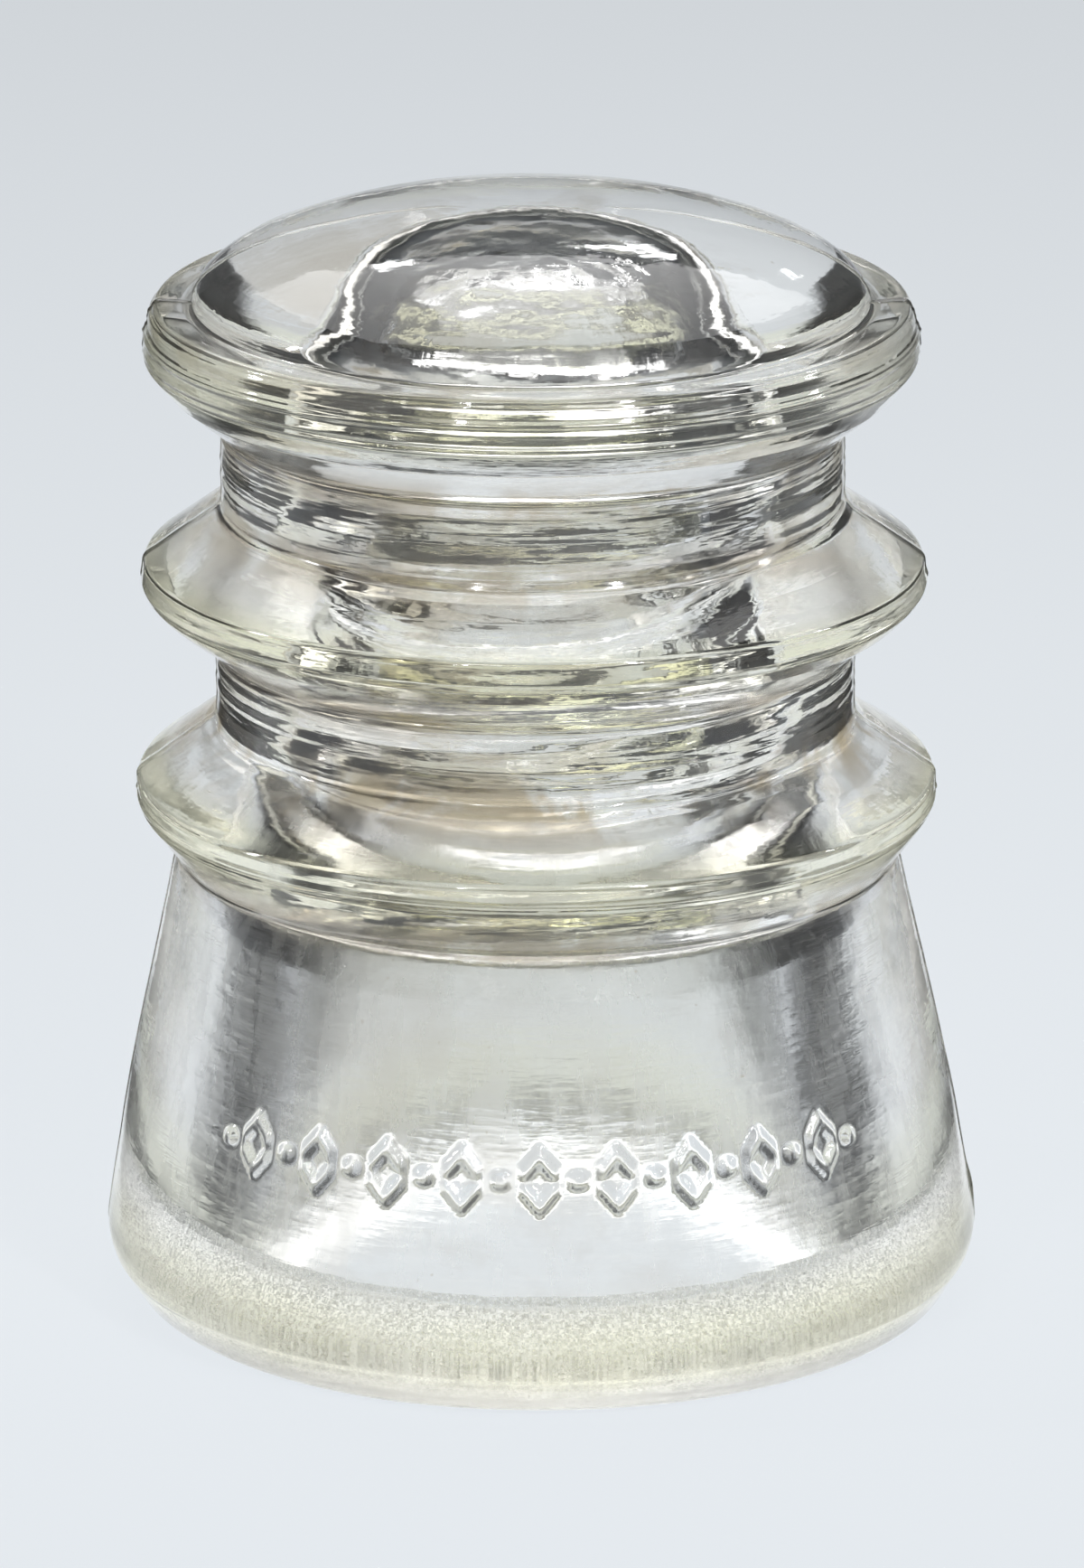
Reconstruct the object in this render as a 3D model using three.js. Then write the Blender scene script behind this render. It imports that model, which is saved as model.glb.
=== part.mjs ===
// Pressed-glass pin insulator, 3 1/2 in high on a 2 3/4 in base.
//
// The real object is one gob of glass pressed in a single mould: crown, two
// wire grooves between three flanges, and a hollow skirt whose roof opens into
// a blind, right-hand threaded pinhole. It has no other pieces, so the group
// holds one mesh.
//
// Millimetres, +Z up, origin on the axis at the plane the base stands on.

import * as THREE from 'three';

// ---------------------------------------------------------------- dimensions
const HEIGHT = 88.9; // 3 1/2 in, base plane to crown apex
const BASE_RADIUS = 34.925; // half of 2 3/4 in
const SEGMENTS = 40; // around the axis

// contact ring: the flat land the base stands on
const RING_INNER = 30.4;
const RING_OUTER = 32.5;

// skirt cavity
const LIP_RADIUS = 22.0; // inner edge of the base face
const LIP_HEIGHT = 5.8;
const CAVITY_TOP_RADIUS = 18.5;
const CAVITY_TOP = 30.6;
const ROOF = 33.4; // roof of the cavity, where the pinhole begins

// pinhole: 1 in thread, 4 turns to the inch, tapering 1/16 in per inch
const PITCH = 25.4 / 4;
const THREAD_BOTTOM = 35.0;
const THREAD_TOP = 70.6;
const ROOT_RADIUS_TOP = 12.9;
const TAPER = 1 / 32; // radius per length
const THREAD_DEPTH = 1.15;
const THREAD_RUNOUT = 3.2; // length over which the thread fades at each end
const ROWS_PER_TURN = 6;
const PINHOLE_TOP = 77.2; // apex of the blind end

// crown dome
const DOME_RADIUS = 26.7;
const DOME_BASE = 81.0;

// Outside of the body from the contact ring up to the foot of the dome:
// [radius, height, fillet radius at that corner].
const OUTSIDE = [
  [RING_OUTER, 0.0, 2.4],
  [BASE_RADIUS + 0.22, 4.3, 3.6], // widest point, low on the skirt
  [33.25, 15.5, 60], // the skirt swells a little
  [28.7, 36.5, 1.0], // top of the skirt
  [31.75, 40.6, 1.5], // lower flange, rim
  [31.75, 42.7, 0.9],
  [28.2, 45.2, 9.0],
  [25.3, 47.3, 1.6], // lower wire groove
  [25.3, 53.7, 1.6],
  [29.6, 56.8, 1.4], // middle flange
  [31.1, 58.3, 1.1],
  [30.9, 60.4, 0.9],
  [27.6, 62.7, 9.0],
  [24.6, 64.6, 1.6], // upper wire groove
  [24.6, 71.4, 1.6],
  [28.8, 74.7, 1.4], // crown flange
  [30.7, 77.0, 1.6],
  [30.4, 79.2, 0.9],
  [29.7, 81.2, 0.6],
  [DOME_RADIUS, DOME_BASE, 0.4],
];

// ------------------------------------------------------------------- profile
// Replaces each inner corner of a polyline with an arc of the given radius.
function filleted(corners, steps) {
  const out = [];
  corners.forEach(([r, z, radius], i) => {
    const p = new THREE.Vector2(r, z);
    if (i === 0 || i === corners.length - 1 || !radius) {
      out.push(p);
      return;
    }
    const before = new THREE.Vector2(corners[i - 1][0], corners[i - 1][1]).sub(p);
    const after = new THREE.Vector2(corners[i + 1][0], corners[i + 1][1]).sub(p);
    const reach = 0.48 * Math.min(before.length(), after.length());
    before.normalize();
    after.normalize();
    const half = Math.acos(THREE.MathUtils.clamp(before.dot(after), -1, 1)) / 2;
    const tangent = Math.min(radius / Math.tan(half), reach);
    const rr = tangent * Math.tan(half);
    const centre = before.clone().add(after).normalize().multiplyScalar(rr / Math.sin(half)).add(p);
    const start = before.clone().multiplyScalar(tangent).add(p).sub(centre);
    const end = after.clone().multiplyScalar(tangent).add(p).sub(centre);
    let sweep = end.angle() - start.angle();
    if (sweep > Math.PI) sweep -= 2 * Math.PI;
    if (sweep < -Math.PI) sweep += 2 * Math.PI;
    const n = Math.max(1, Math.min(steps, Math.round(Math.abs(sweep) / 0.42)));
    for (let k = 0; k <= n; k += 1) {
      const a = start.angle() + (sweep * k) / n;
      out.push(new THREE.Vector2(centre.x + rr * Math.cos(a), centre.y + rr * Math.sin(a)));
    }
  });
  return out;
}

// Root radius of the pinhole at a height.
const rootRadius = (z) => ROOT_RADIUS_TOP + (THREAD_TOP - z) * TAPER;

// Depth of glass standing in from the root at a height and angle. The crest
// climbs one pitch per turn counter-clockwise seen from above: right-handed.
function threadDepth(z, angle) {
  const fade = Math.min(
    THREE.MathUtils.smoothstep(z, THREAD_BOTTOM, THREAD_BOTTOM + THREAD_RUNOUT),
    1 - THREE.MathUtils.smoothstep(z, THREAD_TOP - THREAD_RUNOUT, THREAD_TOP),
  );
  const phase = (2 * Math.PI * z) / PITCH - angle;
  return THREAD_DEPTH * fade * 0.5 * (1 + Math.cos(phase));
}

const profile = [];

// blind end: from the axis out and down to the top of the thread
const CAP_STEPS = 5;
for (let k = 0; k < CAP_STEPS; k += 1) {
  const t = (k / CAP_STEPS) * (Math.PI / 2);
  profile.push(new THREE.Vector2(
    ROOT_RADIUS_TOP * Math.sin(t) ** 0.8,
    THREAD_TOP + (PINHOLE_TOP - THREAD_TOP) * Math.cos(t) ** 0.8,
  ));
}
profile[0].x = 0;

// threaded wall, top to bottom
const threadRows = Math.round(((THREAD_TOP - THREAD_BOTTOM) / PITCH) * ROWS_PER_TURN);
for (let k = 0; k <= threadRows; k += 1) {
  const z = THREAD_TOP - ((THREAD_TOP - THREAD_BOTTOM) * k) / threadRows;
  profile.push(new THREE.Vector2(rootRadius(z), z));
}

// mouth of the pinhole, cavity roof, cavity wall, base face, contact ring
const inside = filleted([
  [rootRadius(THREAD_BOTTOM), THREAD_BOTTOM, 0],
  [rootRadius(THREAD_BOTTOM) + 0.3, ROOF, 1.0],
  [CAVITY_TOP_RADIUS - 1.2, ROOF - 0.9, 1.6],
  [CAVITY_TOP_RADIUS, CAVITY_TOP - 1.2, 3.0],
  [20.1, 18.0, 0],
  [LIP_RADIUS, LIP_HEIGHT, 0.8],
  [26.4, 1.9, 8.0],
  [RING_INNER, 0, 0],
], 4);
profile.push(...inside.slice(1));

// contact ring and outside
profile.push(...filleted([[RING_INNER, 0, 0], ...OUTSIDE], 6).slice(1));

// dome, from its foot to the apex
const DOME_STEPS = 8;
for (let k = 1; k <= DOME_STEPS; k += 1) {
  const t = (k / DOME_STEPS) * (Math.PI / 2);
  profile.push(new THREE.Vector2(
    k === DOME_STEPS ? 0 : DOME_RADIUS * Math.cos(t),
    DOME_BASE + (HEIGHT - DOME_BASE) * Math.sin(t),
  ));
}

// ---------------------------------------------------------------------- body
const geometry = new THREE.LatheGeometry(profile, SEGMENTS);
geometry.rotateX(Math.PI / 2); // the lathe turns about Y; the insulator stands on Z

// Raise the thread out of the pinhole wall.
const position = geometry.attributes.position;
const rows = profile.length;
for (let i = 0; i < position.count; i += 1) {
  const x = position.getX(i);
  const y = position.getY(i);
  const z = position.getZ(i);
  const row = i % rows;
  if (row >= CAP_STEPS && row <= CAP_STEPS + threadRows) {
    const angle = Math.atan2(y, x);
    const r = Math.hypot(x, y);
    const k = (r - threadDepth(z, angle)) / r;
    position.setXY(i, x * k, y * k);
  }
}
geometry.computeVertexNormals();

const glass = new THREE.MeshStandardMaterial({
  name: 'clear_glass',
  color: 0xe4e8dc,
  roughness: 0.06,
  metalness: 0.0,
  transparent: true,
  opacity: 0.4,
});

const body = new THREE.Mesh(geometry, glass);
body.name = 'insulator_glass_body';

const insulator = new THREE.Group();
insulator.name = 'pin_insulator';
insulator.add(body);

export default insulator;
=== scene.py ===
import math

import bpy
import numpy as np
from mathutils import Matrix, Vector


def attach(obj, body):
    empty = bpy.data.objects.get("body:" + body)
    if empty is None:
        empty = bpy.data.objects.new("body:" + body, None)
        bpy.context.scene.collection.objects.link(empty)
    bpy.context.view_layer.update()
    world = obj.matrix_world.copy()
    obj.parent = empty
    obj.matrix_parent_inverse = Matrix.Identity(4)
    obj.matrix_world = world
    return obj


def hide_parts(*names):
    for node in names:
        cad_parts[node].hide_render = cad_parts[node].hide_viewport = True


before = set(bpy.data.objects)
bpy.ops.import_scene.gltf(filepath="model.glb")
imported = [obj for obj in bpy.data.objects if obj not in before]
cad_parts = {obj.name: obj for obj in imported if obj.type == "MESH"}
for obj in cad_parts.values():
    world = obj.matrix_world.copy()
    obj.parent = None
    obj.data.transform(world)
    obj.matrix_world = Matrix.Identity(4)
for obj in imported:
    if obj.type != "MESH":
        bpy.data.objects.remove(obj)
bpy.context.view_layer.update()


MM = 0.001
SEGMENTS = 160

# ---------------------------------------------------------------- the profile
# The insulator's outline in millimetres, as [radius, height, fillet radius].
RING_INNER, RING_OUTER = 30.4, 32.5
BASE_RADIUS = 34.925
HEIGHT = 88.9
DOME_RADIUS, DOME_BASE = 26.7, 81.0

OUTSIDE = [
    (RING_OUTER, 0.0, 2.4),
    (BASE_RADIUS + 0.12, 4.3, 3.6),
    (33.25, 15.5, 60.0),
    (28.7, 36.5, 1.0),
    (31.75, 40.6, 1.5),
    (31.75, 42.7, 0.9),
    (28.2, 45.2, 9.0),
    (25.3, 47.3, 1.6),
    (25.3, 53.7, 1.6),
    (29.6, 56.8, 1.4),
    (31.1, 58.3, 1.1),
    (30.9, 60.4, 0.9),
    (27.6, 62.7, 9.0),
    (24.6, 64.6, 1.6),
    (24.6, 71.4, 1.6),
    (28.8, 74.7, 1.4),
    (30.7, 77.0, 1.6),
    (30.4, 79.2, 0.9),
    (29.7, 81.2, 0.6),
    (DOME_RADIUS, DOME_BASE, 0.5),
]

PITCH = 25.4 / 4
THREAD_BOTTOM, THREAD_TOP = 35.0, 70.6
ROOT_RADIUS_TOP = 12.9
TAPER = 1 / 32
THREAD_DEPTH = 1.15
THREAD_RUNOUT = 3.2
PINHOLE_TOP = 77.2
CAP_POWER = 0.8
LIP_RADIUS, LIP_HEIGHT = 22.0, 5.8
CAVITY_TOP_RADIUS, CAVITY_TOP, ROOF = 18.5, 30.6, 33.4


def root_radius(z):
    return ROOT_RADIUS_TOP + (THREAD_TOP - z) * TAPER


def filleted(corners, step=0.17):
    """The polyline with each inner corner turned into an arc, one point every step radians."""
    out = []
    for i, (r, z, radius) in enumerate(corners):
        p = np.array([r, z], float)
        if i in (0, len(corners) - 1) or not radius:
            out.append(p)
            continue
        before = np.array(corners[i - 1][:2]) - p
        after = np.array(corners[i + 1][:2]) - p
        reach = 0.48 * min(np.linalg.norm(before), np.linalg.norm(after))
        before /= np.linalg.norm(before)
        after /= np.linalg.norm(after)
        half = math.acos(max(-1.0, min(1.0, float(before @ after)))) / 2
        tangent = min(radius / math.tan(half), reach)
        rr = tangent * math.tan(half)
        bisector = before + after
        centre = p + bisector / np.linalg.norm(bisector) * rr / math.sin(half)
        start, end = p + before * tangent - centre, p + after * tangent - centre
        a0, a1 = math.atan2(start[1], start[0]), math.atan2(end[1], end[0])
        sweep = (a1 - a0 + math.pi) % (2 * math.pi) - math.pi
        n = max(3, round(abs(sweep) / step))
        for k in range(n + 1):
            a = a0 + sweep * k / n
            out.append(centre + rr * np.array([math.cos(a), math.sin(a)]))
    return out


def resampled(points, longest):
    """Adds points along any stretch longer than longest, and drops near-duplicates."""
    out = [points[0]]
    for q in points[1:]:
        p = out[-1]
        d = float(np.linalg.norm(q - p))
        if d < 0.02:
            continue
        n = max(1, math.ceil(d / longest))
        out.extend(p + (q - p) * k / n for k in range(1, n + 1))
    return out


# Regions are told apart by name so that each gets its own finish.
rows, region = [], []


def add_rows(points, name):
    for p in points:
        if rows and np.linalg.norm(rows[-1] - p) < 1e-4:
            continue
        rows.append(np.array(p, float))
        region.append(name)


# blind end of the pinhole, from the axis outwards and down
CAP_STEPS = 18
cap = []
for k in range(CAP_STEPS + 1):
    t = (k / CAP_STEPS) * math.pi / 2
    cap.append(np.array([
        ROOT_RADIUS_TOP * math.sin(t) ** CAP_POWER,
        THREAD_TOP + (PINHOLE_TOP - THREAD_TOP) * max(0.0, math.cos(t)) ** CAP_POWER,
    ]))
add_rows(cap, "cap")
# threaded wall
n = 112
add_rows([np.array([root_radius(z), z]) for z in np.linspace(THREAD_TOP, THREAD_BOTTOM, n)[1:]], "thread")
# mouth, roof and wall of the skirt cavity
add_rows(resampled(filleted([
    (root_radius(THREAD_BOTTOM), THREAD_BOTTOM, 0),
    (root_radius(THREAD_BOTTOM) + 0.3, ROOF, 1.0),
    (CAVITY_TOP_RADIUS - 1.2, ROOF - 0.9, 1.6),
    (CAVITY_TOP_RADIUS, CAVITY_TOP - 1.2, 3.0),
    (20.1, 18.0, 40.0),
    (LIP_RADIUS, LIP_HEIGHT + 0.9, 0),
]), 0.9)[1:], "cavity")
# base face, from the inner lip out to the contact ring
add_rows(resampled(filleted([
    (LIP_RADIUS, LIP_HEIGHT + 0.9, 0),
    (LIP_RADIUS + 0.08, LIP_HEIGHT, 0.7),
    (26.4, 1.9, 8.0),
    (RING_INNER, 0.0, 0),
]), 0.6)[1:], "base")
outline = resampled(filleted([(RING_INNER, 0.0, 0), *OUTSIDE]), 0.95)
fine_rows = [outline[0]]
for q in outline[1:]:  # closer rows where the mould joints run round the rims
    near = any(lo < q[1] < hi and q[0] > 29.0 for lo, hi in ((76.9, 80.9), (40.7, 41.7), (58.2, 59.3), (2.9, 3.9)))
    groove = q[0] < 26.0 and (46.0 < q[1] < 55.5 or 63.5 < q[1] < 73.0)
    n = max(1, math.ceil(float(np.linalg.norm(q - fine_rows[-1])) / (0.2 if near else 0.23 if groove else 9.0)))
    p = fine_rows[-1]
    fine_rows.extend(p + (q - p) * k / n for k in range(1, n + 1))
add_rows(fine_rows[1:], "outside")
# dome
DOME_STEPS = 30
add_rows([
    np.array([DOME_RADIUS * math.cos(t), DOME_BASE + (HEIGHT - DOME_BASE) * math.sin(t)])
    for t in (np.arange(1, DOME_STEPS + 1) / DOME_STEPS * math.pi / 2)
], "dome")
rows = np.array(rows)
rows[0, 0] = rows[-1, 0] = 0.0
N = len(rows)
is_in = {name: np.array([g == name for g in region]) for name in set(region)}
print("profile rows", N, "triangles", 2 * (N - 2) * SEGMENTS)

# ------------------------------------------------------------------- the mesh
# Columns: even round the axis, with a few more beside each mould seam (at +X and -X).
even = np.arange(SEGMENTS) * 2 * math.pi / SEGMENTS
extra = np.radians([-0.55, -0.28, 0.28, 0.55])
theta = np.unique(np.round(np.concatenate([even, extra % (2 * math.pi), math.pi + extra]), 9))
S = len(theta)
tangent = np.gradient(rows, axis=0)
tangent /= np.linalg.norm(tangent, axis=1)[:, None] + 1e-12
normal = np.stack([tangent[:, 1], -tangent[:, 0]], -1)  # outward from the glass
arc = np.concatenate([[0], np.cumsum(np.linalg.norm(np.diff(rows, axis=0), axis=1))])


def waves(count, around, along, seed, lean=0.0):
    """Smooth noise over the surface, about -1 to 1: up to around cycles round the axis, and along cycles per millimetre of profile."""
    g = np.random.default_rng(seed)
    out = np.zeros((N, S))
    total = 0.0
    for _ in range(count):
        m = g.integers(0, around + 1)
        k = g.uniform(-along, along)
        a = 1.0 / (1.0 + 0.35 * m)
        out += a * np.sin(2 * math.pi * k * arc[:, None] + m * theta[None, :] + g.uniform(0, 2 * math.pi))
        total += a * a
    return out / math.sqrt(total)


def smoothstep(x, a, b):
    t = np.clip((x - a) / (b - a), 0, 1)
    return t * t * (3 - 2 * t)


def ridge(x, centre, half_width):
    """A smooth bump of height 1 at centre, zero past half_width."""
    t = np.clip(np.abs(x - centre) / half_width, 0, 1)
    return (1 - t * t) ** 2


r, z = rows[:, 0], rows[:, 1]
off = np.zeros((N, S))  # along the outward normal, mm
outside = is_in["outside"] | is_in["dome"]

# thread, standing in from the root of the pinhole: round crests, tighter roots, and
# the fine tool lines that a plunger leaves along it
fade = np.minimum(smoothstep(z, THREAD_BOTTOM, THREAD_BOTTOM + THREAD_RUNOUT),
                  1 - smoothstep(z, THREAD_TOP - THREAD_RUNOUT, THREAD_TOP))
fade = np.where(is_in["thread"] | is_in["cap"], fade, 0.0)
phase = 2 * math.pi * z[:, None] / PITCH - theta[None, :]
shape = 0.5 * (1 + np.cos(phase + 0.25 * np.sin(phase)))
shape = shape + 0.05 * np.sin(4 * phase + 0.6) + 0.028 * np.sin(7 * phase + 2.0 + 0.8 * np.sin(3 * theta)[None, :])
thread = THREAD_DEPTH * fade[:, None] * shape

# fire-polished waviness
soft = waves(26, 9, 0.10, 1)
fine = waves(40, 26, 0.30, 2)
lines = waves(34, 3, 0.75, 3)  # long, nearly level lines round the body
grain = waves(90, 90, 0.75, 4)
hammer = waves(90, 22, 0.42, 5)
off += np.where(is_in["thread"][:, None], 0.035 * soft + 0.018 * fine + 0.040 * lines, 0.0)
off += np.where(is_in["cap"][:, None], 0.04 * soft + 0.055 * hammer, 0.0)
off += np.where(is_in["cavity"][:, None], 0.04 * soft, 0.0)
off += np.where(is_in["base"][:, None], 0.05 * soft + 0.035 * grain, 0.0)
neck = smoothstep(z, 37.0, 40.0) * outside
off += np.where(outside[:, None], 0.026 * soft + (0.004 + 0.004 * neck[:, None]) * fine + 0.024 * neck[:, None] * lines, 0.0)

# mould joints: rings on the flange rims and crown rim, a seam down each side
for height, width, tall in ((78.75, 0.32, 0.13), (80.35, 0.28, 0.09), (77.25, 0.3, -0.10), (79.55, 0.28, -0.10),
                            (41.15, 0.34, 0.10), (58.75, 0.34, 0.09), (3.4, 0.35, 0.05)):
    band = ridge(z, height, width) * is_in["outside"] * (r > 29.0)
    off += tall * band[:, None] * (1 + 0.3 * np.sin(3 * theta + height)[None, :])
# fine level ridges left in the wire grooves by the turned mould
rng = np.random.default_rng(11)
for height in (47.0, 48.1, 49.6, 50.5, 51.9, 53.2, 54.3, 64.6, 65.5, 67.0, 68.4, 69.2, 70.5, 71.8):
    width, tall = rng.uniform(0.34, 0.6), rng.uniform(0.025, 0.075)
    waver = 0.16 * np.sin(2 * theta + rng.uniform(0, 6.3)) + 0.07 * np.sin(5 * theta + rng.uniform(0, 6.3))
    strength = 0.65 + 0.35 * np.sin(3 * theta + rng.uniform(0, 6.3))
    band = ridge(z[:, None] + waver[None, :], height, width) * (is_in["outside"] & (r < 27.0))[:, None]
    off += tall * band * strength[None, :]
for centre, tall in ((0.0, 0.11), (math.pi, 0.09)):
    d = (theta - centre + math.pi) % (2 * math.pi) - math.pi
    across = ridge(d, 0.0, math.radians(0.75))
    along = np.where(outside, 1.0, 0.0) * smoothstep(r, 6.0, 10.0) * smoothstep(z, 0.6, 2.2)
    fin = 1 + (1.6 * ridge(z, 7.6, 2.2) if centre == 0.0 else 0.0)
    off += tall * (along * fin)[:, None] * across[None, :]

off *= (np.minimum(1.0, r / 5.0) ** 2)[:, None]
land = is_in["base"] & (z < 0.02)
off[land] = 0.0

SHEAR = -0.0108  # the crown stands a little to one side of the base, as pressed glass does
X = np.zeros((N, S, 3))
rr = r[:, None] + normal[:, 0:1] * off - thread
zz = z[:, None] + normal[:, 1:2] * off
X[..., 0] = rr * np.cos(theta)
X[..., 1] = rr * np.sin(theta)
X[..., 2] = np.clip(zz, 0.0, HEIGHT)

verts = [(0.0, 0.0, rows[0, 1])]
verts += [tuple(v) for v in X[1:-1].reshape(-1, 3)]
verts.append((0.0, 0.0, rows[-1, 1]))
verts = np.array(verts)
last = len(verts) - 1
faces, face_slot = [], []
SLOT_OF = {"cap": 3, "thread": 1, "cavity": 1, "base": 2, "outside": 0, "dome": 0}


def vid(i, j):
    return 1 + (i - 1) * S + (j % S)


for j in range(S):
    faces.append((0, vid(1, j), vid(1, j + 1)))
    face_slot.append(3)
for i in range(1, N - 2):
    slot = SLOT_OF[region[i + 1]]
    for j in range(S):
        faces.append((vid(i, j), vid(i + 1, j), vid(i + 1, j + 1), vid(i, j + 1)))
        face_slot.append(slot)
for j in range(S):
    faces.append((vid(N - 2, j), last, vid(N - 2, j + 1)))
    face_slot.append(0)

mesh = bpy.data.meshes.new("insulator_glass")
mesh.from_pydata(verts.tolist(), [], faces)
mesh.polygons.foreach_set("material_index", face_slot)

# Raised ornament round the skirt: plain lozenges and studs, no lettering. The skirt's
# faces there are divided finer first, so that the relief is real geometry.
import bmesh

MARK_Z = 19.2  # middle height of the row
MARK_TALL, MARK_WIDE, STROKE, RAISED = 4.9, 4.3, 0.95, 0.5


def skirt_radius(h):
    sel = is_in["outside"] & (z > 4.5) & (z < 36.0)
    order = np.argsort(z[sel])
    return np.interp(h, z[sel][order], r[sel][order])


def marks(angle_from_front, h, count, span, scale, raised):
    """Height of the relief at an angle (radians from the middle of the row) and height."""
    pitch = span / (count - 1)
    k = np.clip(np.round(angle_from_front / pitch), -(count // 2), count // 2)
    u = (angle_from_front - k * pitch) * 32.5  # mm along the surface
    v = h - MARK_Z
    odd = (np.abs(k) % 2) > 0.5
    # lozenge outline: distance from the rhombus |u|/a + |v|/b = 1
    a_, b_ = MARK_WIDE * scale / 2 - STROKE / 2, MARK_TALL * scale / 2 - STROKE / 2
    d = np.abs(np.abs(u) / a_ + np.abs(v) / b_ - 1) / math.hypot(1 / a_, 1 / b_)
    stud = np.hypot(u, v) - 0.2
    d = np.where(odd, np.maximum(stud, 0.0), d)
    w = STROKE * 0.5
    t = np.clip(1 - (d / (w * 1.25)) ** 2, 0, 1)
    return raised * t ** 0.75


bm = bmesh.new()
bm.from_mesh(mesh)
lo_, hi_ = MARK_Z - MARK_TALL / 2 - 0.9, MARK_Z + MARK_TALL / 2 + 0.9
rows_ = ((-math.pi / 2, 19, math.radians(96), 1.0, RAISED), (math.pi / 2, 13, math.radians(68), 0.9, 0.4))
for middle, count, span, scale, raised in rows_:
    chosen = []
    for f in bm.faces:
        c = f.calc_center_median()
        if not (lo_ < c.z < hi_) or math.hypot(c.x, c.y) < 28.0:
            continue
        d = (math.atan2(c.y, c.x) - middle + math.pi) % (2 * math.pi) - math.pi
        if abs(d) < span / 2 + math.radians(5.0):
            chosen.append(f)
    edges = list({e for f in chosen for e in f.edges})
    bmesh.ops.subdivide_edges(bm, edges=edges, cuts=3, use_grid_fill=True)
    for v in bm.verts:
        if lo_ - 1.2 < v.co.z < hi_ + 1.2:
            rad = math.hypot(v.co.x, v.co.y)
            if rad < 28.0:
                continue
            d = (math.atan2(v.co.y, v.co.x) - middle + math.pi) % (2 * math.pi) - math.pi
            if abs(d) < span / 2 + math.radians(5.0):
                up = float(marks(np.float64(d), np.float64(v.co.z), count, span, scale, raised))
                if up > 0:
                    v.co.x += v.co.x / rad * up
                    v.co.y += v.co.y / rad * up
for v in bm.verts:
    v.co.x += SHEAR * v.co.z
    v.co *= MM
if bm.calc_volume(signed=True) < 0:
    bmesh.ops.reverse_faces(bm, faces=bm.faces)
print("rows", N, "faces", len(bm.faces), "volume cm3", bm.calc_volume(signed=True) * 1e6)
open_edges = sum(1 for e in bm.edges if len(e.link_faces) != 2)
print("edges not shared by two faces", open_edges)
bm.to_mesh(mesh)
bm.free()
mesh.validate()
mesh.shade_smooth()
glass_obj = bpy.data.objects.new("insulator_glass", mesh)
bpy.context.scene.collection.objects.link(glass_obj)
bpy.context.view_layer.update()

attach(glass_obj, "root")
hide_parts("insulator_glass_body")


# ------------------------------------------------------------------ materials
def new_material(name):
    m = bpy.data.materials.new(name)
    m.use_nodes = True
    nt = m.node_tree
    nt.nodes.clear()
    out = nt.nodes.new("ShaderNodeOutputMaterial")
    return m, nt, out


def node(nt, kind, **kw):
    n_ = nt.nodes.new(kind)
    for k, v in kw.items():
        setattr(n_, k, v)
    return n_


def math_node(nt, op, a, b=None, clamp=False):
    n_ = node(nt, "ShaderNodeMath", operation=op, use_clamp=clamp)
    for i_, v in enumerate((a, b)):
        if v is None:
            continue
        if isinstance(v, (int, float)):
            n_.inputs[i_].default_value = v
        else:
            nt.links.new(v, n_.inputs[i_])
    return n_.outputs[0]


def ramp(nt, fac, lo, hi, a=0.0, b=1.0):
    n_ = node(nt, "ShaderNodeMapRange", interpolation_type="SMOOTHSTEP")
    n_.inputs["From Min"].default_value, n_.inputs["From Max"].default_value = lo, hi
    n_.inputs["To Min"].default_value, n_.inputs["To Max"].default_value = a, b
    nt.links.new(fac, n_.inputs["Value"])
    return n_.outputs[0]


def noise(nt, vec, scale, detail=3.0, rough=0.55, distortion=0.0):
    n_ = node(nt, "ShaderNodeTexNoise")
    n_.inputs["Scale"].default_value = scale
    n_.inputs["Detail"].default_value = detail
    n_.inputs["Roughness"].default_value = rough
    n_.inputs["Distortion"].default_value = distortion
    nt.links.new(vec, n_.inputs["Vector"])
    return n_.outputs["Fac"]


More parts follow.
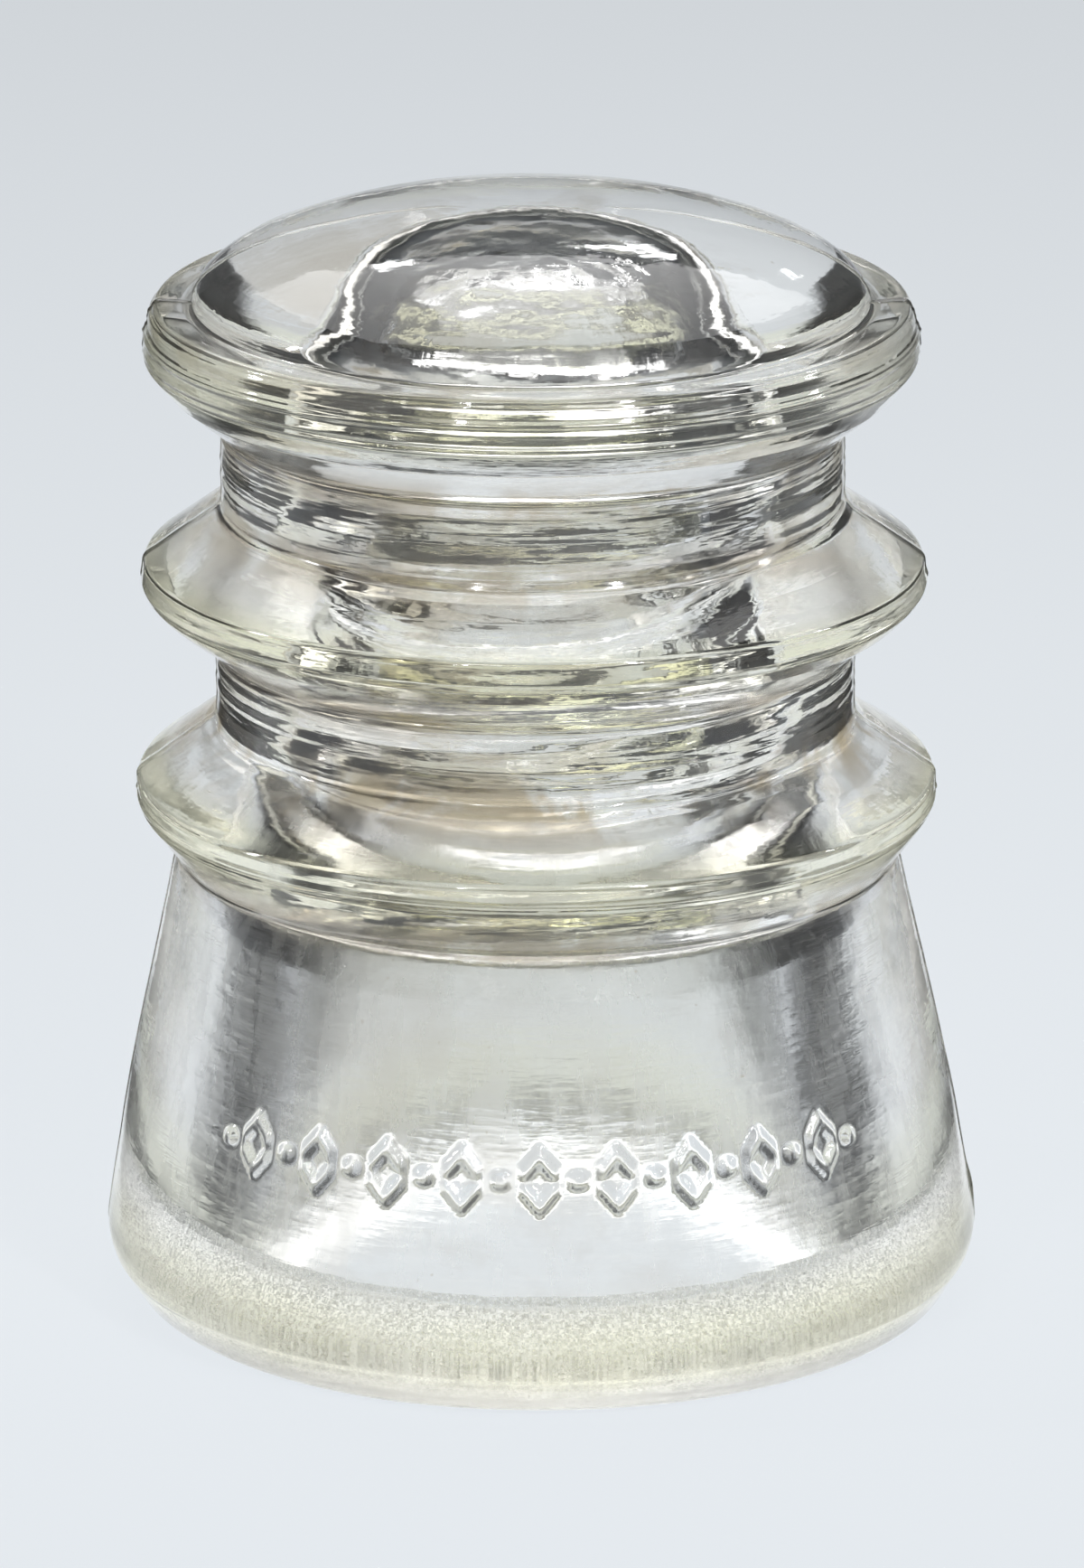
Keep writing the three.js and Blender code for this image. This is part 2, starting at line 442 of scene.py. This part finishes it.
def glass_material(name, kind):
    """Clear soda-lime glass. kind is outer (fire-polished), inner (hazed by the plunger), cap (hammered blind end) or base (rough, dusty)."""
    m, nt, out = new_material(name)
    bsdf = node(nt, "ShaderNodeBsdfPrincipled")
    bsdf.inputs["Transmission Weight"].default_value = 1.0
    bsdf.inputs["IOR"].default_value = 1.52
    tc = node(nt, "ShaderNodeTexCoord")
    pos = tc.outputs["Object"]
    sep = node(nt, "ShaderNodeSeparateXYZ")
    nt.links.new(pos, sep.inputs[0])
    zz_ = sep.outputs["Z"]
    stretched = node(nt, "ShaderNodeMapping")
    stretched.inputs["Scale"].default_value = (1, 1, 0.18)
    nt.links.new(pos, stretched.inputs["Vector"])
    level = node(nt, "ShaderNodeMapping")
    level.inputs["Scale"].default_value = (0.12, 0.12, 1)
    nt.links.new(pos, level.inputs["Vector"])

    # grime: brown film, patchy, thickest in the wire grooves and under the flanges
    patch = math_node(nt, "ADD", noise(nt, pos, 95, 5, 0.62, 0.4), ramp(nt, sep.outputs["X"], 0.010, -0.014, 0.0, 0.13))
    speck = noise(nt, pos, 900, 2, 0.6)
    bands = None
    for centre, half, weight in ((0.0475, 0.0045, 1.0), (0.0540, 0.004, 0.7), (0.0648, 0.0035, 0.7), (0.0712, 0.004, 0.8), (0.0372, 0.003, 0.7), (0.0805, 0.002, 0.4)):
        d = math_node(nt, "ABSOLUTE", math_node(nt, "SUBTRACT", zz_, centre))
        w_ = ramp(nt, d, half, 0.0, 0.0, weight)
        bands = w_ if bands is None else math_node(nt, "MAXIMUM", bands, w_)
    if kind == "outer":
        mask = math_node(nt, "MULTIPLY", ramp(nt, patch, 0.47, 0.62), math_node(nt, "ADD", math_node(nt, "MULTIPLY", bands, 0.95), 0.04), True)
    elif kind in ("inner", "cap"):
        mask = math_node(nt, "MULTIPLY", ramp(nt, patch, 0.46, 0.70), ramp(nt, zz_, 0.034, 0.038, 0.26, 0.5) if kind == "inner" else 0.12, True)
    else:
        mask = math_node(nt, "MULTIPLY", ramp(nt, patch, 0.45, 0.72), 0.30, True)
    radial = node(nt, "ShaderNodeVectorMath", operation="LENGTH")
    flat = node(nt, "ShaderNodeVectorMath", operation="MULTIPLY")
    flat.inputs[1].default_value = (1, 1, 0)
    nt.links.new(pos, flat.inputs[0])
    nt.links.new(flat.outputs[0], radial.inputs[0])
    upper = math_node(nt, "MULTIPLY", ramp(nt, radial.outputs["Value"], 0.0288, 0.0312), ramp(nt, zz_, 0.0355, 0.0385))
    lower_ = math_node(nt, "MULTIPLY", ramp(nt, radial.outputs["Value"], 0.0330, 0.0346), ramp(nt, zz_, 0.012, 0.006))
    rim = math_node(nt, "MAXIMUM", upper, lower_)
    rim = math_node(nt, "MULTIPLY", rim, ramp(nt, noise(nt, pos, 60, 3, 0.6), 0.25, 0.7, 0.65, 1.0))
    mask = math_node(nt, "ADD", mask, ramp(nt, speck, 0.735, 0.78, 0.0, 0.55 if kind != "outer" else 0.35), True)
    mix = node(nt, "ShaderNodeMix", data_type="RGBA")
    nt.links.new(mask, mix.inputs["Factor"])
    clean = {"outer": (1.0, 1.0, 0.995, 1), "inner": (0.965, 0.968, 0.962, 1), "cap": (0.97, 0.972, 0.97, 1), "base": (0.99, 0.99, 0.975, 1)}[kind]
    mix.inputs[6].default_value = clean
    mix.inputs[7].default_value = (0.42, 0.31, 0.17, 1)
    film_mix = node(nt, "ShaderNodeMix", data_type="RGBA", blend_type="MULTIPLY")
    if kind == "outer":
        nt.links.new(rim, film_mix.inputs["Factor"])
    else:
        nt.links.new(math_node(nt, "MULTIPLY", ramp(nt, zz_, 0.012, 0.031), ramp(nt, zz_, 0.035, 0.041, 1.0, 0.3)) if kind == "inner" else ramp(nt, zz_, 0.5, 0.6), film_mix.inputs["Factor"])
    nt.links.new(mix.outputs[2], film_mix.inputs[6])
    film_mix.inputs[7].default_value = (1.0, 0.98, 0.72, 1) if kind == "outer" else (0.86, 0.865, 0.855, 1)
    nt.links.new(film_mix.outputs[2], bsdf.inputs["Base Color"])

    # roughness
    if kind == "outer":
        streak = noise(nt, stretched.outputs[0], 260, 4, 0.6)
        base_r = ramp(nt, streak, 0.36, 0.74, 0.03, 0.085)
        rough = math_node(nt, "ADD", base_r, math_node(nt, "MULTIPLY", mask, 0.12))
    elif kind == "inner":
        film = noise(nt, stretched.outputs[0], 420, 5, 0.7)
        low = ramp(nt, zz_, 0.034, 0.040, 1.0, 0.12)  # the skirt's inside is hazier than the pinhole
        base_r = math_node(nt, "MULTIPLY", ramp(nt, film, 0.30, 0.70, 0.15, 0.32), low)
        rough = math_node(nt, "ADD", base_r, math_node(nt, "MULTIPLY", mask, 0.12))
    elif kind == "cap":
        rough = ramp(nt, noise(nt, pos, 500, 4, 0.7), 0.3, 0.7, 0.03, 0.16)
    else:
        film = noise(nt, pos, 700, 3, 0.7)
        rough = ramp(nt, film, 0.3, 0.7, 0.06, 0.26)
        rough = math_node(nt, "MULTIPLY", rough, ramp(nt, radial.outputs["Value"], 0.0285, 0.0262, 0.25, 1.0))
    nt.links.new(rough, bsdf.inputs["Roughness"])

    # relief too fine for the mesh
    bump = node(nt, "ShaderNodeBump")
    if kind == "outer":
        h_ = math_node(nt, "ADD", noise(nt, pos, 210, 3, 0.5), math_node(nt, "MULTIPLY", noise(nt, level.outputs[0], 900, 3, 0.6), 0.55))
        bump.inputs["Strength"].default_value = 0.6
        bump.inputs["Distance"].default_value = 0.0001
    elif kind == "inner":
        h_ = math_node(nt, "ADD", noise(nt, pos, 300, 4, 0.6), math_node(nt, "MULTIPLY", noise(nt, level.outputs[0], 1100, 3, 0.6), 0.8))
        bump.inputs["Strength"].default_value = 0.6
        bump.inputs["Distance"].default_value = 0.0001
    elif kind == "cap":
        cells = node(nt, "ShaderNodeTexVoronoi", feature="SMOOTH_F1")
        cells.inputs["Scale"].default_value = 480
        nt.links.new(pos, cells.inputs["Vector"])
        h_ = math_node(nt, "ADD", cells.outputs["Distance"], noise(nt, pos, 420, 4, 0.6))
        bump.inputs["Strength"].default_value = 0.6
        bump.inputs["Distance"].default_value = 0.0001
    else:
        h_ = math_node(nt, "ADD", noise(nt, pos, 3000, 4, 0.7), noise(nt, pos, 700, 3, 0.6))
        bump.inputs["Strength"].default_value = 0.8
        bump.inputs["Distance"].default_value = 0.00012
    nt.links.new(h_, bump.inputs["Height"])
    nt.links.new(bump.outputs[0], bsdf.inputs["Normal"])
    if kind == "base":
        # ground, dusty glass also lets the light of the floor through as a soft glow
        glow = node(nt, "ShaderNodeBsdfTranslucent")
        glow.inputs["Color"].default_value = (1.0, 0.995, 0.975, 1)
        grains = node(nt, "ShaderNodeMixShader")
        inner_bevel = ramp(nt, radial.outputs["Value"], 0.0275, 0.0228)
        grain_mask = ramp(nt, noise(nt, pos, 4200, 3, 0.7), 0.36, 0.64, 0.20, 0.90)
        nt.links.new(math_node(nt, "MULTIPLY", grain_mask, inner_bevel), grains.inputs[0])
        nt.links.new(bsdf.outputs[0], grains.inputs[1])
        nt.links.new(glow.outputs[0], grains.inputs[2])
        nt.links.new(bump.outputs[0], glow.inputs["Normal"])
        nt.links.new(grains.outputs[0], out.inputs["Surface"])
    else:
        nt.links.new(bsdf.outputs[0], out.inputs["Surface"])

    # faint straw tint through the thick parts
    vol = node(nt, "ShaderNodeVolumeAbsorption")
    vol.inputs["Color"].default_value = (0.90, 0.905, 0.82, 1)
    vol.inputs["Density"].default_value = 2.4
    nt.links.new(vol.outputs[0], out.inputs["Volume"])
    return m


for kind in ("outer", "inner", "base", "cap"):
    mesh.materials.append(glass_material("pressed_glass_" + kind, kind))

# ---------------------------------------------------------------------- stage
floor_mesh = bpy.data.meshes.new("floor")
R = 3.0
pts = [(R * math.cos(a), R * math.sin(a), 0.0) for a in np.arange(96) * 2 * math.pi / 96]
floor_mesh.from_pydata(pts, [], [tuple(range(96))])
floor = bpy.data.objects.new("floor", floor_mesh)
bpy.context.scene.collection.objects.link(floor)
floor.location.z = -0.0002
# A pale sheet with painted glow: its own emission, not a lamp, stands in for the pool of light on the floor. It glows
# most round the object and fades away from it.
fm, fnt, fout = new_material("floor_painted_glow")
fb = node(fnt, "ShaderNodeBsdfPrincipled")
fb.inputs["Base Color"].default_value = (0.055, 0.057, 0.058, 1)
fb.inputs["Roughness"].default_value = 0.3
fb.inputs["Specular IOR Level"].default_value = 0.0
fgeo = node(fnt, "ShaderNodeNewGeometry")
flen = node(fnt, "ShaderNodeVectorMath", operation="LENGTH")
floor_glow_ramp = node(fnt, "ShaderNodeValToRGB")
fmap = node(fnt, "ShaderNodeMapRange")
fmap.inputs["From Max"].default_value = 2.0
fnt.links.new(fgeo.outputs["Position"], flen.inputs[0])
fnt.links.new(flen.outputs["Value"], fmap.inputs["Value"])
fnt.links.new(fmap.outputs[0], floor_glow_ramp.inputs[0])
fnt.links.new(floor_glow_ramp.outputs[0], fb.inputs["Emission Color"])
# the floor's brightness is this painted glow; its diffuse colour is nearly black
fb.inputs["Emission Strength"].default_value = 0.97
fe = floor_glow_ramp.color_ramp.elements
# painted glow colours of the floor, near the object and far from it
FLOOR_GLOW_NEAR, FLOOR_GLOW_FAR = np.array([0.77, 0.81, 0.85]), np.array([0.43, 0.55, 0.67])
stops = [0.0, 0.15, 0.3, 0.45, 0.7, 1.0, 1.4, 2.0]
for i, d in enumerate(stops):
    g = math.exp(-(d / 0.70) ** 1.6)
    c = (FLOOR_GLOW_NEAR * g + (FLOOR_GLOW_FAR - FLOOR_GLOW_NEAR) * g * min(1.0, d / 0.5))
    if i == 0:
        el_ = fe[0]
    elif i == len(stops) - 1:
        el_ = fe[1]
    else:
        el_ = fe.new(d / 2.0)
    el_.position = d / 2.0
    el_.color = (*c, 1)
fnt.links.new(fb.outputs[0], fout.inputs["Surface"])
floor_mesh.materials.append(fm)

# A ring of stronger light in the sheet, hidden under the base: it makes the rough bevel glow.
ring_mesh = bpy.data.meshes.new("ring_light")
ring_pts = [(q * math.cos(a), q * math.sin(a), 0.0) for q in (0.0212, 0.0268) for a in np.arange(96) * 2 * math.pi / 96]
ring_mesh.from_pydata(ring_pts, [], [(k, (k + 1) % 96, 96 + (k + 1) % 96, 96 + k) for k in range(96)])
ring = bpy.data.objects.new("ring_light", ring_mesh)
bpy.context.scene.collection.objects.link(ring)
ring.location.z = -0.0001
rm, rnt, rout = new_material("ring_light")
remit = node(rnt, "ShaderNodeEmission")
remit.inputs[0].default_value = (0.97, 0.985, 1.0, 1)
remit.inputs[1].default_value = 1.9
rnt.links.new(remit.outputs[0], rout.inputs["Surface"])
ring_mesh.materials.append(rm)

# The room: pale where the camera sees it, dim where it only lights the glass.
world = bpy.data.worlds.new("studio")
bpy.context.scene.world = world
world.use_nodes = True
wnt = world.node_tree
wnt.nodes.clear()
wout = node(wnt, "ShaderNodeOutputWorld")
wbg = node(wnt, "ShaderNodeBackground")
wpale = node(wnt, "ShaderNodeBackground")
wmix = node(wnt, "ShaderNodeMixShader")
wpath = node(wnt, "ShaderNodeLightPath")
wtc = node(wnt, "ShaderNodeTexCoord")
wsep = node(wnt, "ShaderNodeSeparateXYZ")
wramp = node(wnt, "ShaderNodeValToRGB")
wnt.links.new(wtc.outputs["Generated"], wsep.inputs[0])
wnt.links.new(wsep.outputs["Z"], wramp.inputs[0])
wfill = node(wnt, "ShaderNodeMapRange", interpolation_type="SMOOTHSTEP")
wfill.inputs["From Min"].default_value, wfill.inputs["From Max"].default_value = -0.15, -0.55
wnt.links.new(wsep.outputs["Y"], wfill.inputs["Value"])
wadd = node(wnt, "ShaderNodeMix", data_type="RGBA")
wnt.links.new(wfill.outputs[0], wadd.inputs["Factor"])
wnt.links.new(wramp.outputs[0], wadd.inputs[6])
wadd.inputs[7].default_value = (1.0, 1.0, 0.98, 1)
wnt.links.new(wadd.outputs[2], wbg.inputs[0])
wpale.inputs[0].default_value = (0.42, 0.47, 0.52, 1)
wnt.links.new(wpath.outputs["Is Camera Ray"], wmix.inputs[0])
wnt.links.new(wbg.outputs[0], wmix.inputs[1])
wnt.links.new(wpale.outputs[0], wmix.inputs[2])
wnt.links.new(wmix.outputs[0], wout.inputs[0])
e = wramp.color_ramp.elements
e[0].position = 0.0
e[0].color = (0.10, 0.11, 0.12, 1)
e[1].position = 1.0
e[1].color = (0.03, 0.03, 0.032, 1)
for pos, c in ((0.12, (0.05, 0.055, 0.06, 1)), (0.35, (0.025, 0.027, 0.03, 1))):
    x = e.new(pos)
    x.color = c


def area(name, az, el, dist, size, radiance, color=(1, 1, 1), target=(0, 0, 0.04)):
    """A softbox at azimuth az (0 is the camera's side, 90 its right) and elevation el."""
    d = bpy.data.lights.new(name, "AREA")
    d.shape = "RECTANGLE"
    d.size, d.size_y = size
    d.energy = radiance * math.pi * size[0] * size[1]
    d.color = color
    o = bpy.data.objects.new(name, d)
    a, e_ = math.radians(az), math.radians(el)
    t = Vector(target)
    back = Vector((math.sin(a) * math.cos(e_), -math.cos(a) * math.cos(e_), math.sin(e_)))
    o.location = t + back * dist
    o.rotation_mode = "QUATERNION"
    o.rotation_quaternion = back.to_track_quat("Z", "Y")
    bpy.context.scene.collection.objects.link(o)
    return o


area("top_soft", 180, 60, 1.5, (1.7, 1.4), 1.8)
area("back_soft_a", 174, 31, 1.7, (0.16, 0.05), 12)
area("back_soft_b", -170, 35, 1.7, (0.10, 0.04), 12)
area("back_soft_c", 160, 27, 1.7, (0.08, 0.05), 10)
area("right_strip", 31, 32, 1.2, (0.05, 0.30), 130)
area("front_soft", 22, 44, 1.2, (0.30, 0.16), 9)
area("front_soft_b", -16, 40, 1.2, (0.20, 0.12), 8)
area("left_strip", -22, 32, 1.3, (0.04, 0.18), 90)
area("side_strip", -92, 26, 1.2, (0.06, 0.22), 60)
area("side_strip_b", 96, 24, 1.2, (0.05, 0.16), 26)


# Dark flags just outside the picture, seen only in the glass: they draw its sides.
def flag(name, corners):
    fmesh = bpy.data.meshes.new(name)
    fmesh.from_pydata(corners, [], [tuple(range(len(corners)))])
    fo = bpy.data.objects.new(name, fmesh)
    bpy.context.scene.collection.objects.link(fo)
    fmesh.materials.append(flag_mat)
    fo.visible_camera = False
    fo.visible_diffuse = False
    fo.visible_shadow = False


def flag_material(name, y_lo, y_hi, z_hi, soft):
    """Black card with feathered edges, so that no hard line is seen in the glass."""
    m, nt, out = new_material(name)
    black = node(nt, "ShaderNodeBsdfDiffuse")
    black.inputs[0].default_value = (0.03, 0.03, 0.032, 1)
    clear = node(nt, "ShaderNodeBsdfTransparent")
    tc = node(nt, "ShaderNodeTexCoord")
    sep = node(nt, "ShaderNodeSeparateXYZ")
    nt.links.new(tc.outputs["Object"], sep.inputs[0])
    along = math_node(nt, "ABSOLUTE", sep.outputs["Y"] if y_lo is not None else sep.outputs["X"])
    lo, hi = (y_lo, y_hi) if y_lo is not None else y_hi
    a = math_node(nt, "MULTIPLY", ramp(nt, along, lo, lo + soft), ramp(nt, along, hi - soft, hi, 1.0, 0.0))
    a = math_node(nt, "MULTIPLY", a, ramp(nt, sep.outputs["Z"], z_hi * 0.55, z_hi, 1.0, 0.0))
    mix = node(nt, "ShaderNodeMixShader")
    nt.links.new(a, mix.inputs[0])
    nt.links.new(clear.outputs[0], mix.inputs[1])
    nt.links.new(black.outputs[0], mix.inputs[2])
    nt.links.new(mix.outputs[0], out.inputs["Surface"])
    return m


def low_flag_material():
    m, nt, out = new_material("flag_low")
    black = node(nt, "ShaderNodeBsdfDiffuse")
    black.inputs[0].default_value = (0.03, 0.03, 0.032, 1)
    clear = node(nt, "ShaderNodeBsdfTransparent")
    tc = node(nt, "ShaderNodeTexCoord")
    sep = node(nt, "ShaderNodeSeparateXYZ")
    nt.links.new(tc.outputs["Object"], sep.inputs[0])
    x_ = math_node(nt, "ABSOLUTE", sep.outputs["X"])
    a = math_node(nt, "MULTIPLY", ramp(nt, x_, 0.040, 0.046), ramp(nt, x_, 0.084, 0.096, 1.0, 0.0))
    a = math_node(nt, "MULTIPLY", a, ramp(nt, sep.outputs["Y"], -0.002, 0.010))
    a = math_node(nt, "MULTIPLY", a, ramp(nt, sep.outputs["Y"], 0.060, 0.085, 1.0, 0.0))
    mix = node(nt, "ShaderNodeMixShader")
    nt.links.new(math_node(nt, "MULTIPLY", a, 0.95), mix.inputs[0])
    nt.links.new(clear.outputs[0], mix.inputs[1])
    nt.links.new(black.outputs[0], mix.inputs[2])
    nt.links.new(mix.outputs[0], out.inputs["Surface"])
    return m


low_mat = low_flag_material()
side_mat = flag_material("flag_side", 0.000, 0.135, 0.060, 0.018)
back_mat = flag_material("flag_back", None, (0.062, 0.47), 0.25, 0.05)
for side, tag in ((-1, "left"), (1, "right")):
    x0 = side * 0.058
    flag_mat = side_mat
    flag("flag_side_" + tag, [(x0, 0.0, 0.0), (x0, 0.135, 0.0), (x0, 0.135, 0.06), (x0, 0.0, 0.06)])
    flag_mat = low_mat
    flag("flag_low_" + tag, [(side * 0.040, -0.002, 0.003), (side * 0.096, -0.002, 0.003), (side * 0.096, 0.085, 0.003), (side * 0.040, 0.085, 0.003)])
    flag_mat = back_mat
    flag("flag_back_" + tag, [(side * 0.062, 0.16, 0.0), (side * 0.47, 0.16, 0.0), (side * 0.47, 0.16, 0.25), (side * 0.062, 0.16, 0.25)])

# --------------------------------------------------------------------- camera
F_PX = 11635.5
cam_data = bpy.data.cameras.new("camera")
cam = bpy.data.objects.new("camera", cam_data)
bpy.context.scene.collection.objects.link(cam)
cam_data.sensor_width = 36.0
cam_data.lens = 36.0 * F_PX / 1735.0
cam_data.clip_start = 0.01
cam_data.clip_end = 20.0
eye = Vector((0.0, -0.800, 0.29155))
aim = Vector((0.0, 0.0, 0.04127))
cam.location = eye
cam.rotation_mode = "QUATERNION"
quat = (eye - aim).to_track_quat("Z", "Y")
cam.rotation_quaternion = quat
bpy.context.scene.camera = cam

scene = bpy.context.scene
scene.view_settings.view_transform = "Standard"
scene.view_settings.look = "None"
scene.cycles.max_bounces = 24
scene.cycles.transmission_bounces = 24
scene.cycles.glossy_bounces = 12
scene.cycles.diffuse_bounces = 3
scene.cycles.volume_bounces = 0
scene.cycles.transparent_max_bounces = 16
